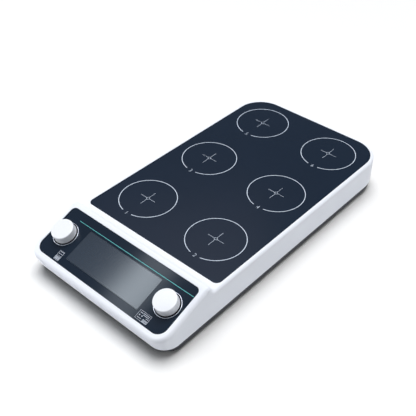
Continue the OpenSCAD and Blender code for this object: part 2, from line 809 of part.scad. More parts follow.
// Screws of the main board and of the control board
module board_screws() {
    color("silver") {
        each_board_post() translate([0, 0, main_board_top]) mirror([0, 0, 1]) screw(board_t + screw_grip);
        on_panel() each_control_post() translate([0, 0, board_under_h]) screw(board_t + screw_grip);
    }
}

module stator_plates() {
    color("gainsboro") each_position() translate([0, 0, plate_z]) difference() {
        cylinder(r = plate_r, h = plate_t);
        translate([0, 0, -eps]) cylinder(r = shaft_r + shaft_room, h = plate_t + 2 * eps);
        each_plate_screw() translate([0, 0, -eps]) cylinder(r = screw_r + seat_gap, h = plate_t + 2 * eps);
    }
}

module bearing_tubes() {
    step_r = bearing_r - tube_step;
    tube_h = tube_top - plate_top;
    color("goldenrod") each_position() translate([0, 0, plate_top]) rotate_extrude() polygon([
        [bearing_r, 0], [tube_flange_r, 0], [tube_flange_r, tube_flange_t], [tube_r, tube_flange_t],
        [tube_r, tube_h], [bearing_r, tube_h], [bearing_r, tube_h - bearing_w], [step_r, tube_h - bearing_w],
        [step_r, bearing_w], [bearing_r, bearing_w]
    ]);
}

module ball_bearings() {
    color("silver") each_position() for (z = [plate_top, tube_top - bearing_w]) translate([0, 0, z])
        difference() {
            cylinder(r = bearing_r, h = bearing_w);
            translate([0, 0, -eps]) cylinder(r = shaft_r + run_gap, h = bearing_w + 2 * eps);
        }
}

module stator_cores() {
    color("slategray") each_position() translate([0, 0, core_z]) linear_extrude(core_t) difference() {
        union() {
            circle(yoke_r);
            intersection() {
                circle(core_r);
                for (i = [0:teeth - 1]) rotate(i * 360 / teeth) {
                    translate([0, -tooth_w / 2]) square([core_r, tooth_w]);
                    translate([core_r - tip_t, -tip_w / 2]) square([tip_t, tip_w]);
                }
            }
        }
        circle(tube_r);
    }
}

module stator_windings() {
    inner = [coil_r1 - coil_r0 + 2 * eps, tooth_w + 2 * run_gap, core_t + 2 * run_gap];
    outer = [coil_r1 - coil_r0, inner[1] + 2 * coil_wall, inner[2] + 2 * coil_wall];
    color("sienna") each_position() translate([0, 0, core_z + core_t / 2])
        for (i = [0:teeth - 1]) rotate(i * 360 / teeth) translate([(coil_r0 + coil_r1) / 2, 0, 0])
            difference() {
                cube(outer, center = true);
                cube(inner, center = true);
            }
}

module rotor_cup(i) {
    skirt_r = cup_r - cup_wall;
    color("lightsteelblue") at_position(i) translate([0, 0, cup_z]) rotate_extrude() polygon([
        [skirt_r, 0], [cup_r, 0], [cup_r, cup_h], [cup_boss_r, cup_h], [cup_boss_r, cup_h + cup_boss_h],
        [shaft_r, cup_h + cup_boss_h], [shaft_r, cup_h - cup_top_t], [skirt_r, cup_h - cup_top_t]
    ]);
}

module motor_shaft(i) {
    color("silver") at_position(i) translate([0, 0, plate_top + free_gap])
        cylinder(r = shaft_r, h = carrier_z + cup_boss_h - plate_top - free_gap);
}

module magnet_carrier(i) {
    color("ivory") at_position(i) translate([0, 0, carrier_z]) difference() {
        cylinder(r = carrier_r, h = carrier_t);
        translate([0, 0, -eps]) cylinder(r = cup_boss_r + run_gap, h = carrier_t + 2 * eps);
        for (side = [-1, 1]) translate([side * magnet_x, 0, carrier_t - magnet_t])
            cylinder(r = magnet_r + run_gap, h = magnet_t + eps);
    }
}

module drive_magnets(i) {
    color("silver") at_position(i) for (side = [-1, 1])
        translate([side * magnet_x, 0, carrier_top - magnet_t]) cylinder(r = magnet_r, h = magnet_t);
}

module encoder_housings() {
    color("darkgray") each_knob() difference() {
        translate([-encoder_w / 2, -encoder_w / 2, board_top_h]) cube([encoder_w, encoder_w, encoder_h]);
        translate([0, 0, cavity_floor])
            cylinder(r = encoder_rotor_r + free_gap, h = cavity_top - cavity_floor);
        translate([0, 0, cavity_floor]) cylinder(r = encoder_shaft_r + seat_gap, h = encoder_h);
    }
}

module encoder_bushings() {
    color("goldenrod") each_knob() translate([0, 0, wall_under]) difference() {
        cylinder(r = bushing_r, h = bushing_top - wall_under);
        translate([0, 0, -eps]) cylinder(r = encoder_shaft_r + run_gap, h = far);
    }
}

module encoder_nuts() {
    color("goldenrod") each_knob() translate([0, 0, -overlay_t]) difference() {
        cylinder(r = nut_r, h = nut_t, $fn = 6);
        translate([0, 0, -eps]) cylinder(r = bushing_r, h = nut_t + 2 * eps);
    }
}

module knob_trim_rings() {
    color("silver") each_knob() difference() {
        cylinder(r = trim_r + trim_w / 2, h = trim_h);
        translate([0, 0, -eps]) cylinder(r = trim_r - trim_w / 2, h = trim_h + 2 * eps);
    }
}

module knob(side) {
    color("white") at_knob(side) translate([0, 0, knob_gap]) difference() {
        rotate_extrude() polygon(concat(
            [[0, 0], [knob_r, 0]], quarter([knob_r - knob_fillet, knob_h - knob_fillet], knob_fillet, 0),
            [[0, knob_h]]
        ));
        translate([0, 0, -eps]) difference() {
            cylinder(r = knob_r - knob_wall, h = knob_h - knob_wall);
            translate([0, 0, flat_start - knob_gap]) cylinder(r = knob_hub_r, h = knob_h);
        }
        translate([0, 0, -eps]) linear_extrude(shaft_tip - knob_gap + eps) flatted_circle(0);
    }
}

module speed_knob() { knob(-1); }
module timer_knob() { knob(1); }

module encoder_shaft(side) {
    color("silver") at_knob(side) {
        translate([0, 0, shaft_foot]) linear_extrude(cavity_top - shaft_foot) flatted_circle(0);
        translate([0, 0, cavity_top]) cylinder(r = encoder_shaft_r, h = flat_start - cavity_top);
        translate([0, 0, flat_start]) linear_extrude(shaft_tip - flat_start) flatted_circle(0);
    }
}

module speed_shaft() { encoder_shaft(-1); }
module timer_shaft() { encoder_shaft(1); }

module encoder_rotor(side) {
    color("ivory") at_knob(side) translate([0, 0, cavity_floor + free_gap])
        linear_extrude(cavity_top - cavity_floor - push_travel - 2 * free_gap) difference() {
            circle(encoder_rotor_r);
            flatted_circle(run_gap);
        }
}

module speed_encoder_rotor() { encoder_rotor(-1); }
module timer_encoder_rotor() { encoder_rotor(1); }

module dc_jack() {
    color("black") in_rear_wall(jack_x) {
        difference() {
            union() {
                cylinder(r = jack_flange_r, h = bezel_t);
                translate([0, 0, -jack_d]) cylinder(r = jack_r, h = jack_d);
            }
            translate([0, 0, bezel_t - socket_d]) cylinder(r = socket_r, h = far);
        }
        translate([0, 0, -jack_d]) cylinder(r = pin_r, h = jack_d);
    }
}

module jack_nut() {
    color("silver") in_rear_wall(jack_x) translate([0, 0, -wall - nut_t]) difference() {
        cylinder(r = jack_nut_flats / sqrt(3), h = nut_t, $fn = 6);
        translate([0, 0, -eps]) cylinder(r = jack_r, h = nut_t + 2 * eps);
    }
}

module switch_housing() {
    pocket_d = pivot_d + pivot_r + rocker_room;
    color("black") translate([switch_x, rear_y, socket_h]) difference() {
        union() {
            translate([-bezel_w / 2, 0, -bezel_h / 2]) cube([bezel_w, bezel_t, bezel_h]);
            translate([-switch_w / 2, -switch_d, -switch_h / 2]) cube([switch_w, switch_d + eps, switch_h]);
        }
        translate([-pocket_w / 2, bezel_t - pocket_d, -pocket_h / 2]) cube([pocket_w, far, pocket_h]);
        translate([0, bezel_t - pivot_d, -switch_h / 2 - eps])
            cylinder(r = pivot_r + run_gap, h = switch_h + 2 * eps);
    }
}

module power_rocker() {
    color("black") translate([switch_x, rear_y + bezel_t - pivot_d, socket_h]) rotate(rocker_tilt) {
        translate([0, 0, -rocker_h / 2]) linear_extrude(rocker_h) polygon([
            [-rocker_half, rocker_end], [-rocker_half, rocker_end - rocker_skirt],
            [-rocker_hub_r, -rocker_hub_r], [rocker_hub_r, -rocker_hub_r],
            [rocker_half, rocker_end - rocker_skirt], [rocker_half, rocker_end],
            [0, rocker_end - rocker_dish]
        ]);
        translate([0, 0, -switch_h / 2]) cylinder(r = pivot_r, h = switch_h);
    }
}

upper_case();
base_tray();
worktop();
worktop_gasket();
panel_overlay();
display_window();
lcd_module();
control_board();
main_board();
board_parts();
ribbon_cable();
motor_leads();
power_leads();
rubber_feet();
base_screws();
motor_screws();
board_screws();
stator_plates();
bearing_tubes();
ball_bearings();
stator_cores();
stator_windings();
encoder_housings();
encoder_bushings();
encoder_nuts();
knob_trim_rings();
dc_jack();
jack_nut();
switch_housing();
power_rocker();
speed_knob();
timer_knob();
speed_shaft();
timer_shaft();
speed_encoder_rotor();
timer_encoder_rotor();
for (i = [0:positions - 1]) {
    rotor_cup(i);
    motor_shaft(i);
    magnet_carrier(i);
    drive_magnets(i);
}
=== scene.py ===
"""Looks of a magnetic stirrer with six positions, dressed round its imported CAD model.

Metres, in the CAD frame: +X is the user's right, +Y the rear, +Z up, and the bench is at z = 0.
"""

import json
import math

import bmesh
import bpy
from mathutils import Euler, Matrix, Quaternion, Vector


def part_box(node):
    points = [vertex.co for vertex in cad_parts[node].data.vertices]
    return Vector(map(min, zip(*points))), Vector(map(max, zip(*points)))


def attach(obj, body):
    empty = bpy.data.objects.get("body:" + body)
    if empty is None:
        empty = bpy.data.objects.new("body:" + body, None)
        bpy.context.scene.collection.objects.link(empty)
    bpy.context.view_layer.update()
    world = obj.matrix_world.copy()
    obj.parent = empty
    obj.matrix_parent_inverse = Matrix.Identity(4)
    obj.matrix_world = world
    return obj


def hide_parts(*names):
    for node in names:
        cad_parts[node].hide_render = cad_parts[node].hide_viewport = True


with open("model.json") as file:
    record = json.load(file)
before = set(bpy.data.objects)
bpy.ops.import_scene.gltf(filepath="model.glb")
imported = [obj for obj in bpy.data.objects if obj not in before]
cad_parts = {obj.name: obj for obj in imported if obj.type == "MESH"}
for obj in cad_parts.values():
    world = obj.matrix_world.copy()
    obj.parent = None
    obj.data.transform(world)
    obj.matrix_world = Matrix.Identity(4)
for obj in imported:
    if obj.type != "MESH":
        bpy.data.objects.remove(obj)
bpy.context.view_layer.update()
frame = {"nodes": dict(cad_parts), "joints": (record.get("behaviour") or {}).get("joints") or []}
nodes = frame["nodes"]
joints = {joint["name"]: joint for joint in frame["joints"]}
bpy.ops.object.select_all(action="DESELECT")

MM = 0.001
NEAR = 0.001 * MM
INK_T = 0.04 * MM

# The panel's own frame: its origin is the middle of the panel's upper edge, +Y runs up the slope
OVERLAY_T = 0.8 * MM
PANEL_TILT = math.acos(Vector(joints["speed_turn"]["axis"]).z)
overlay_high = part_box("panel_overlay")[1]
PANEL_TOP = Vector((0, overlay_high.y - OVERLAY_T * math.sin(PANEL_TILT), overlay_high.z))
WORKTOP_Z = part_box("worktop")[1].z


# Materials

# The Mix node's sockets for colours
MIX_MASK = 0
MIX_FIRST = 6
MIX_SECOND = 7
MIX_RESULT = 2


def rgb(red, green, blue):
    """A colour given as screen values from 0 to 255, as the linear colour that a shader takes."""
    values = []
    for value in (red, green, blue):
        value = value / 255
        values.append(value / 12.92 if value <= 0.04045 else ((value + 0.055) / 1.055) ** 2.4)
    return (*values, 1.0)


def grey(level):
    """A linear grey."""
    return (level, level, level, 1.0)


class Socket:
    """An output of a node. Python's operators on it add Math nodes."""

    def __init__(self, graph, output):
        self.graph = graph
        self.output = output

    def math(self, operation, *values):
        return self.graph.node("ShaderNodeMath", {"operation": operation}, dict(enumerate(values)))

    def __add__(self, other):
        return self.math("ADD", self, other)

    def __radd__(self, other):
        return self.math("ADD", other, self)

    def __sub__(self, other):
        return self.math("SUBTRACT", self, other)

    def __rsub__(self, other):
        return self.math("SUBTRACT", other, self)

    def __mul__(self, other):
        return self.math("MULTIPLY", self, other)

    def __rmul__(self, other):
        return self.math("MULTIPLY", other, self)


class Graph:
    """A tree of shader nodes."""

    def __init__(self, tree):
        self.tree = tree

    def feed(self, socket, value):
        """Links a node's output to a socket, or sets the socket to a value."""
        if isinstance(value, Socket):
            self.tree.links.new(value.output, socket)
        else:
            socket.default_value = value

    def node(self, kind, settings=None, inputs=None, output=0):
        """Adds a node. Its settings come first, then the values or links of its sockets."""
        made = self.tree.nodes.new(kind)
        for key, value in (settings or {}).items():
            if key == "stops":
                ramp = made.color_ramp.elements
                while len(ramp) < len(value):
                    ramp.new(1.0)
                for element, (place, colour) in zip(ramp, value):
                    element.position = place
                    element.color = colour
            else:
                setattr(made, key, value)
        for key, value in (inputs or {}).items():
            self.feed(made.inputs[key], value)
        return Socket(self, made.outputs[output])


class Finish(Graph):
    """One material: its node tree, with the shader that everything feeds."""

    def __init__(self, name):
        self.material = bpy.data.materials.new(name)
        self.material.use_nodes = True
        super().__init__(self.material.node_tree)
        self.shader = self.tree.nodes["Principled BSDF"]

    def place(self):
        """The place on the piece, in metres."""
        return self.node("ShaderNodeTexCoord", output="Object")

    def noise(self, scale, detail=3.0, stretch=None):
        """Noise from 0 to 1, with its own scale along each axis where it is stretched."""
        vector = self.place()
        if stretch:
            vector = self.node("ShaderNodeMapping", None, {"Vector": vector, "Scale": stretch})
        sockets = {"Vector": vector, "Scale": scale, "Detail": detail}
        return self.node("ShaderNodeTexNoise", None, sockets)

    def between(self, mask, first, second):
        """Mix of two colours by a mask."""
        sockets = {MIX_MASK: mask, MIX_FIRST: first, MIX_SECOND: second}
        return self.node("ShaderNodeMix", {"data_type": "RGBA"}, sockets, MIX_RESULT)

    def around(self, middle, mask, spread):
        """A value that a mask carries up and down round its middle."""
        return middle + (mask - 0.5) * spread

    def bump(self, height, strength, distance):
        sockets = {"Strength": strength, "Distance": distance, "Height": height}
        return self.node("ShaderNodeBump", None, sockets)

    def set(self, **sockets):
        """Feeds the shader's sockets, which are named with _ for each space."""
        for key, value in sockets.items():
            self.feed(self.shader.inputs[key.replace("_", " ")], value)
        return self.material


def moulded(name, light, dark, roughness, grain=1800.0, relief=0.02, specular=0.5):
    """Moulded plastic or rubber: a fine-grained skin with a slight drift of tone."""
    finish = Finish(name)
    drift = finish.noise(scale=14.0)
    skin = finish.noise(scale=grain, detail=2.0)
    return finish.set(
        Base_Color=finish.between(drift, dark, light),
        Roughness=finish.around(roughness, skin, spread=0.12),
        Normal=finish.bump(skin, strength=0.25, distance=relief * MM),
        Specular_IOR_Level=specular,
    )


def machined(name, light, dark, roughness, stretch=(60.0, 60.0, 2400.0)):
    """Turned, drawn or ground metal: fine lines along one way, in tone, gloss and relief."""
    finish = Finish(name)
    lines = finish.noise(scale=1.0, detail=2.0, stretch=stretch)
    return finish.set(
        Base_Color=finish.between(lines, dark, light),
        Metallic=1.0,
        Roughness=finish.around(roughness, lines, spread=0.15),
        Normal=finish.bump(lines, strength=0.12, distance=0.01 * MM),
    )


def plated(name, light, dark, roughness):
    """Satin plating: smooth, with a slight drift of tone and haze."""
    finish = Finish(name)
    haze = finish.noise(scale=120.0, detail=2.0)
    return finish.set(
        Base_Color=finish.between(haze, dark, light),
        Metallic=1.0,
        Roughness=finish.around(roughness, haze, spread=0.1),
    )


def navy_glass():
    """Toughened glass, enamelled dark navy: satin, with a trace of mottling in the enamel."""
    finish = Finish("navy_glass")
    mottle = finish.noise(scale=26.0, detail=4.0)
    fine = finish.noise(scale=900.0, detail=2.0)
    return finish.set(
        Base_Color=finish.between(mottle, rgb(14, 29, 46), rgb(17, 32, 50)),
        Roughness=0.2 + fine * 0.06,
        Normal=finish.bump(fine, strength=0.05, distance=0.004 * MM),
        Specular_IOR_Level=0.25,
    )


def overlay_film():
    """Printed control film: dark navy with a fine satin texture."""
    finish = Finish("overlay_film")
    drift = finish.noise(scale=30.0)
    fine = finish.noise(scale=2600.0, detail=2.0)
    return finish.set(
        Base_Color=finish.between(drift, rgb(23, 34, 48), rgb(26, 37, 51)),
        Roughness=0.08 + fine * 0.04,
        Normal=finish.bump(fine, strength=0.06, distance=0.004 * MM),
        Specular_IOR_Level=0.22,
    )


def display_glass():
    """Glossy window over an unlit grey display, with a faint grain of cells."""
    finish = Finish("display_glass")
    cells = finish.noise(scale=2200.0, detail=1.0)
    return finish.set(
        Base_Color=finish.between(cells, rgb(33, 46, 61), rgb(35, 48, 64)),
        Roughness=0.125 + cells * 0.015,
        Specular_IOR_Level=1.0,
    )


def circuit_board():
    """Green solder mask with lighter traces under it."""
    finish = Finish("circuit_board")
    traces = finish.node(
        "ShaderNodeTexBrick",
        {"offset": 0.35},
        {"Vector": finish.place(), "Scale": 160.0, "Mortar Size": 0.07},
        output="Fac",
    )
    return finish.set(
        Base_Color=finish.between(traces, rgb(22, 74, 44), rgb(46, 112, 68)),
        Roughness=0.35 + traces * 0.1,
        Normal=finish.bump(traces, strength=0.3, distance=0.03 * MM),
    )


def wound_copper():
    """Enamelled copper wire, wound in close turns."""
    finish = Finish("wound_copper")
    turns = finish.node(
        "ShaderNodeTexWave",
        {"wave_type": "RINGS", "rings_direction": "Z"},
        {"Vector": finish.place(), "Scale": 620.0, "Distortion": 0.4, "Detail": 1.0},
        output="Fac",
    )
    return finish.set(
        Base_Color=finish.between(turns, rgb(120, 58, 26), rgb(196, 112, 62)),
        Metallic=0.8,
        Roughness=0.42 - turns * 0.1,
        Normal=finish.bump(turns, strength=0.5, distance=0.1 * MM),
    )


def ribbed_cable(name, light, dark):
    """Flat cable: parallel round conductors side by side."""
    finish = Finish(name)
    ribs = finish.node(
        "ShaderNodeTexWave",
        {"bands_direction": "X"},
        {"Vector": finish.place(), "Scale": 250.0},
        output="Fac",
    )
    return finish.set(
        Base_Color=finish.between(ribs, dark, light),
        Roughness=0.5 - ribs * 0.1,
        Normal=finish.bump(ribs, strength=0.6, distance=0.2 * MM),
    )


def ink(name, light, dark, roughness=0.55, specular=0.5):
    """Screen-printed ink: even, with the slight unevenness of a print."""
    finish = Finish(name)
    speck = finish.noise(scale=1500.0, detail=2.0)
    return finish.set(
        Base_Color=finish.between(speck, dark, light),
        Roughness=finish.around(roughness, speck, spread=0.1),
        Specular_IOR_Level=specular,
    )


# Noise scales along x, y and z: brushed lines on a plate, the sheets of a stack, and an even grain
PLATE_LINES = (2400.0, 40.0, 40.0)
SHEET_LINES = (40.0, 40.0, 2000.0)
EVEN_GRAIN = (300.0, 300.0, 300.0)

CASE_WHITE = moulded("case_white", rgb(234, 238, 246), rgb(231, 235, 244), 0.42, specular=0.3)
KNOB_WHITE = moulded("knob_white", rgb(237, 240, 246), rgb(234, 237, 244), 0.26, specular=0.55)
TRAY_NAVY = moulded("tray_navy", rgb(36, 41, 52), rgb(29, 33, 43), 0.5, 900.0, 0.05)
BLACK_PLASTIC = moulded("black_plastic", rgb(30, 31, 34), rgb(22, 23, 26), 0.45, 900.0, 0.04)
GASKET_RUBBER = moulded("gasket_rubber", rgb(24, 25, 27), rgb(17, 18, 20), 0.75, 1200.0, 0.06)
FOOT_RUBBER = moulded("foot_rubber", rgb(32, 33, 36), rgb(23, 24, 27), 0.8, 1100.0, 0.08)
LCD_FRAME = moulded("lcd_frame", rgb(150, 155, 160), rgb(136, 141, 147), 0.4)
CHIP_BLACK = moulded("chip_black", rgb(34, 35, 37), rgb(24, 25, 27), 0.55, 1500.0, 0.03)
ENCODER_GREY = moulded("encoder_grey", rgb(126, 130, 134), rgb(108, 112, 117), 0.5)
CARRIER_WHITE = moulded("carrier_white", rgb(222, 220, 212), rgb(208, 206, 198), 0.5)
NAVY_GLASS = navy_glass()
OVERLAY_FILM = overlay_film()
DISPLAY_GLASS = display_glass()
BOARD_GREEN = circuit_board()
COPPER = wound_copper()
RIBBON_GREY = ribbed_cable("ribbon_grey", rgb(176, 178, 182), rgb(138, 141, 146))
LEAD_RED = ribbed_cable("lead_red", rgb(168, 40, 36), rgb(120, 24, 24))
SCREW_STEEL = machined("screw_steel", rgb(188, 190, 194), rgb(150, 152, 158), 0.34)
PLATE_STEEL = machined("plate_steel", rgb(196, 199, 204), rgb(164, 167, 173), 0.4, PLATE_LINES)
BRASS = machined("brass", rgb(206, 172, 100), rgb(170, 136, 70), 0.32)
BEARING_STEEL = machined("bearing_steel", rgb(200, 203, 208), rgb(168, 171, 177), 0.22)
CORE_STEEL = machined("core_steel", rgb(120, 124, 132), rgb(88, 92, 100), 0.45, SHEET_LINES)
CUP_STEEL = machined("cup_steel", rgb(178, 184, 194), rgb(146, 152, 162), 0.3)
MAGNET_NICKEL = machined("magnet_nickel", rgb(206, 206, 204), rgb(178, 178, 176), 0.18, EVEN_GRAIN)
TRIM_CHROME = plated("trim_chrome", rgb(228, 235, 248), rgb(216, 224, 240), 0.3)
POSITION_INK = ink("position_ink", rgb(213, 225, 242), rgb(203, 215, 232))
LINE_INK = ink("line_ink", rgb(88, 188, 189), rgb(78, 178, 180))
ICON_INK = ink("icon_ink", rgb(198, 206, 220), rgb(186, 194, 209))
MARK_INK = ink("mark_ink", rgb(222, 224, 227), rgb(208, 210, 214))
# Near-black ink for the rings under the knobs: painted shade where the gap round each knob falls dark
PAINTED_SHADE_INK = ink("painted_shade_ink", rgb(6, 8, 13), rgb(3, 5, 9), 0.85, 0.05)

# A motor's pieces are listed once, without the motor's number
NODE_FINISHES = {
    "upper_case": CASE_WHITE,
    "base_tray": TRAY_NAVY,
    "worktop": NAVY_GLASS,
    "worktop_gasket": GASKET_RUBBER,
    "panel_overlay": OVERLAY_FILM,
    "display_window": DISPLAY_GLASS,
    "lcd_module": LCD_FRAME,
    "control_board": BOARD_GREEN,
    "main_board": BOARD_GREEN,
    "board_parts": CHIP_BLACK,
    "ribbon_cable": RIBBON_GREY,
    "motor_leads": LEAD_RED,
    "power_leads": LEAD_RED,
    "rubber_feet": FOOT_RUBBER,
    "base_screws": SCREW_STEEL,
    "motor_screws": SCREW_STEEL,
    "board_screws": SCREW_STEEL,
    "stator_plates": PLATE_STEEL,
    "bearing_tubes": BRASS,
    "ball_bearings": BEARING_STEEL,
    "stator_cores": CORE_STEEL,
    "stator_windings": COPPER,
    "encoder_housings": ENCODER_GREY,
    "encoder_bushings": BRASS,
    "encoder_nuts": BRASS,
    "knob_trim_rings": TRIM_CHROME,
    "dc_jack": BLACK_PLASTIC,
    "jack_nut": SCREW_STEEL,
    "switch_housing": BLACK_PLASTIC,
    "power_rocker": BLACK_PLASTIC,
    "speed_knob": KNOB_WHITE,
    "timer_knob": KNOB_WHITE,
    "speed_shaft": SCREW_STEEL,
    "timer_shaft": SCREW_STEEL,
    "speed_encoder_rotor": CARRIER_WHITE,
    "timer_encoder_rotor": CARRIER_WHITE,
    "rotor_cup": CUP_STEEL,
    "motor_shaft": BEARING_STEEL,
    "magnet_carrier": CARRIER_WHITE,
    "drive_magnets": MAGNET_NICKEL,
}


def paint(piece, material):
    piece.data.materials.clear()
    piece.data.materials.append(material)


for name, piece in nodes.items():
    paint(piece, NODE_FINISHES[name.rstrip("123456").rstrip("_")])


# Modelling

# A face is level where the upright part of its normal is past LEVEL, and a wall where it is below WALL
LEVEL = 0.9
WALL = 0.1


def begin():
    bpy.ops.object.mode_set(mode="EDIT")


def end():
    bpy.ops.object.mode_set(mode="OBJECT")
    return bpy.context.object


def alone(piece):
    """Selects just this piece and makes it the active one."""
    bpy.ops.object.select_all(action="DESELECT")
    piece.select_set(True)
    bpy.context.view_layer.objects.active = piece


def fix_place(piece):
    """Moves the object's place, turn and scale into its mesh."""
    alone(piece)
    bpy.ops.object.transform_apply(location=True, rotation=True, scale=True)


def own_copy(source, name):
    """A copy with its own mesh and no parent."""
    made = source.copy()
    made.data = source.data.copy()
    made.name = made.data.name = name
    made.parent = None
    bpy.context.scene.collection.objects.link(made)
    return made


def pick_all():
    """In edit mode, selects the whole mesh."""
    bpy.ops.mesh.select_all(action="SELECT")


def pick_faces(test):
    """In edit mode, selects just the faces whose middle and normal pass the test."""
    piece = bpy.context.edit_object
    bpy.ops.mesh.select_mode(type="FACE")
    bpy.ops.mesh.select_all(action="DESELECT")
    shape = bmesh.from_edit_mesh(piece.data)
    for face in shape.faces:
        face.select_set(test(face.calc_center_median(), face.normal))
    bmesh.update_edit_mesh(piece.data)


def pick_edges(test):
    """In edit mode, selects just the edges whose two ends pass the test."""
    piece = bpy.context.edit_object
    bpy.ops.mesh.select_mode(type="EDGE")
    bpy.ops.mesh.select_all(action="DESELECT")
    shape = bmesh.from_edit_mesh(piece.data)
    for edge in shape.edges:
        edge.select_set(test(edge.verts[0].co, edge.verts[1].co))
    bmesh.update_edit_mesh(piece.data)


def raise_by(height):
    """Extrudes what is selected straight up."""
    bpy.ops.mesh.extrude_region_move(TRANSFORM_OT_translate={"value": (0, 0, height)})


def raise_outline(line, height):
    """In edit mode, leaves a line round the flat shape and extrudes it straight up."""
    pick_all()
    bpy.ops.mesh.inset(thickness=line)
    bpy.ops.mesh.delete(type="FACE")
    pick_all()
    raise_by(height)


def face_out():
    """In edit mode, turns all faces outwards."""
    pick_all()
    bpy.ops.mesh.normals_make_consistent(inside=False)


def smooth(piece, degrees=35):
    """Shades a piece smooth, but for edges sharper than the angle."""
    alone(piece)
    bpy.ops.object.shade_smooth_by_angle(angle=math.radians(degrees))


def join(pieces, name):
    """Makes one piece of several."""
    bpy.ops.object.select_all(action="DESELECT")
    for piece in pieces:
        piece.select_set(True)
    bpy.context.view_layer.objects.active = pieces[0]
    bpy.ops.object.join()
    pieces[0].name = name
    pieces[0].data.name = name
    return pieces[0]


def begin_plate(x0, x1, y0, y1, corner):
    """Starts a flat rectangle with rounded corners, and stays in edit mode."""
    bpy.ops.mesh.primitive_plane_add(size=1, location=((x0 + x1) / 2, (y0 + y1) / 2, 0))
    plate = bpy.context.object
    plate.scale = (x1 - x0, y1 - y0, 1)
    fix_place(plate)
    begin()
    if corner:
        bpy.ops.mesh.bevel(offset=corner, segments=5, affect="VERTICES")


def printed_bar(x0, x1, y0, y1, corner=0.0):
    """Printed rectangle, with rounded corners."""
    begin_plate(x0, x1, y0, y1, corner)
    pick_all()
    raise_by(INK_T)
    face_out()
    return end()


def printed_frame(x0, x1, y0, y1, line, corner):
    """Printed outline of a rounded rectangle."""
    begin_plate(x0, x1, y0, y1, corner)
    raise_outline(line, INK_T)
    face_out()
    return end()


def printed_circle(x, y, radius, line, vertices):
    """Printed closed ring."""
    bpy.ops.mesh.primitive_circle_add(
        vertices=vertices, radius=radius + line / 2, fill_type="NGON", location=(x, y, 0)
    )
    fix_place(bpy.context.object)
    begin()
    raise_outline(line, INK_T)
    face_out()
    return end()


def printed_arc(radius, line, start, sweep, steps):
    """Printed ring that stays open: one end's section, spun clockwise round the origin."""
    bpy.ops.mesh.primitive_plane_add(
        size=1,
        location=(radius * math.cos(start), radius * math.sin(start), INK_T / 2),
        rotation=(math.pi / 2, 0, start),
    )
    arc = bpy.context.object
    arc.scale = (line, INK_T, 1)
    fix_place(arc)
    begin()
    pick_all()
    bpy.ops.mesh.spin(steps=steps, angle=sweep, center=(0, 0, 0), axis=(0, 0, 1))
    face_out()
    return end()


def printed_number(digit, height, thin):
    """A number, centred on the origin, with its strokes thinned."""
    bpy.ops.object.text_add()
    text = bpy.context.object
    text.data.body = str(digit)
    text.data.align_x = "CENTER"
    text.data.align_y = "CENTER"
    text.data.extrude = INK_T / 2
    text.data.offset = -thin
    alone(text)
    bpy.ops.object.convert(target="MESH")
    number = bpy.context.object
    low, high = Vector(number.bound_box[0]), Vector(number.bound_box[6])
    scale = height / (high.y - low.y)
    number.scale = (scale, scale, 1)
    number.location = (-scale * (low.x + high.x) / 2, -scale * (low.y + high.y) / 2, INK_T / 2)
    fix_place(number)
    return number


# Printed positions on the worktop

POSITIONS = 6
RING_R = 30 * MM
RING_LINE = 0.65 * MM
RING_GAP = 12 * MM
CROSS_LINE = 0.28 * MM
CROSS_X = 10 * MM
CROSS_Y = 11 * MM
EYE_R = 1.6 * MM
EYE_LINE = 0.3 * MM
NUMBER_H = 4.4 * MM
NUMBER_THIN = 0.02

half_gap = math.asin(RING_GAP / 2 / RING_R)
half_line = CROSS_LINE / 2
cross_in = EYE_R + EYE_LINE / 2
pattern = join(
    [
        printed_arc(RING_R, RING_LINE, -half_gap - math.pi / 2, 2 * (math.pi - half_gap), steps=120),
        printed_circle(0, 0, EYE_R, EYE_LINE, vertices=32),
        printed_bar(cross_in, CROSS_X, -half_line, half_line),
        printed_bar(-CROSS_X, -cross_in, -half_line, half_line),
        printed_bar(-half_line, half_line, cross_in, CROSS_Y),
        printed_bar(-half_line, half_line, -CROSS_Y, -cross_in),
    ],
    "position_print",
)

for i in range(1, POSITIONS + 1):
    axis = Vector(joints[f"rotor_spin_{i}"]["pos_m"])
    ring_and_cross = own_copy(pattern, f"position_print_{i}")
    number = printed_number(i, NUMBER_H, NUMBER_THIN)
    number.location = (0, -RING_R, 0)
    fix_place(number)
    marks = join([ring_and_cross, number], f"position_print_{i}")
    marks.location = (axis.x, axis.y, WORKTOP_Z)
    fix_place(marks)
    paint(marks, POSITION_INK)
    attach(marks, "housing")
bpy.data.objects.remove(pattern)


# Printed line and icons on the panel

LINE_LEFT = -67 * MM
LINE_RIGHT = 84.3 * MM
LINE_DOWN = 9.15 * MM
LINE_W = 0.5 * MM
LINE_CORNER = 0.2 * MM
ICON_LINE = 0.22 * MM
ICON_CORNER = 0.5 * MM
ICON_BAR = 0.4 * MM
BAR_CORNER = 0.1 * MM
DOT_R = 0.45 * MM
DOT_LINE = 0.8 * DOT_R


def put_on_panel(piece, material):
    """Lays a piece that was modelled flat, in the panel's own frame, on the panel."""
    piece.location = PANEL_TOP
    piece.rotation_euler = (PANEL_TILT, 0, 0)
    fix_place(piece)
    paint(piece, material)
    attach(piece, "housing")


def icon(name, left, down, box, bars, dots=()):
    """Pictogram on the panel: an outlined box, bars and dots.

    Its upper left corner is given in the panel's frame, and the rest in millimetres from that corner:
    the box by its width and height, a bar by its two ends and its middle line, a dot by its middle.
    """
    width, height = box
    parts = [printed_frame(left, left + width * MM, -down - height * MM, -down, ICON_LINE, ICON_CORNER)]
    for start, stop, below in bars:
        y = -down - below * MM
        parts.append(
            printed_bar(
                left + start * MM, left + stop * MM, y - ICON_BAR / 2, y + ICON_BAR / 2, BAR_CORNER
            )
        )
    for across, below in dots:
        parts.append(
            printed_circle(left + across * MM, -down - below * MM, DOT_R, DOT_LINE, vertices=16)
        )
    put_on_panel(join(parts, name), ICON_INK)


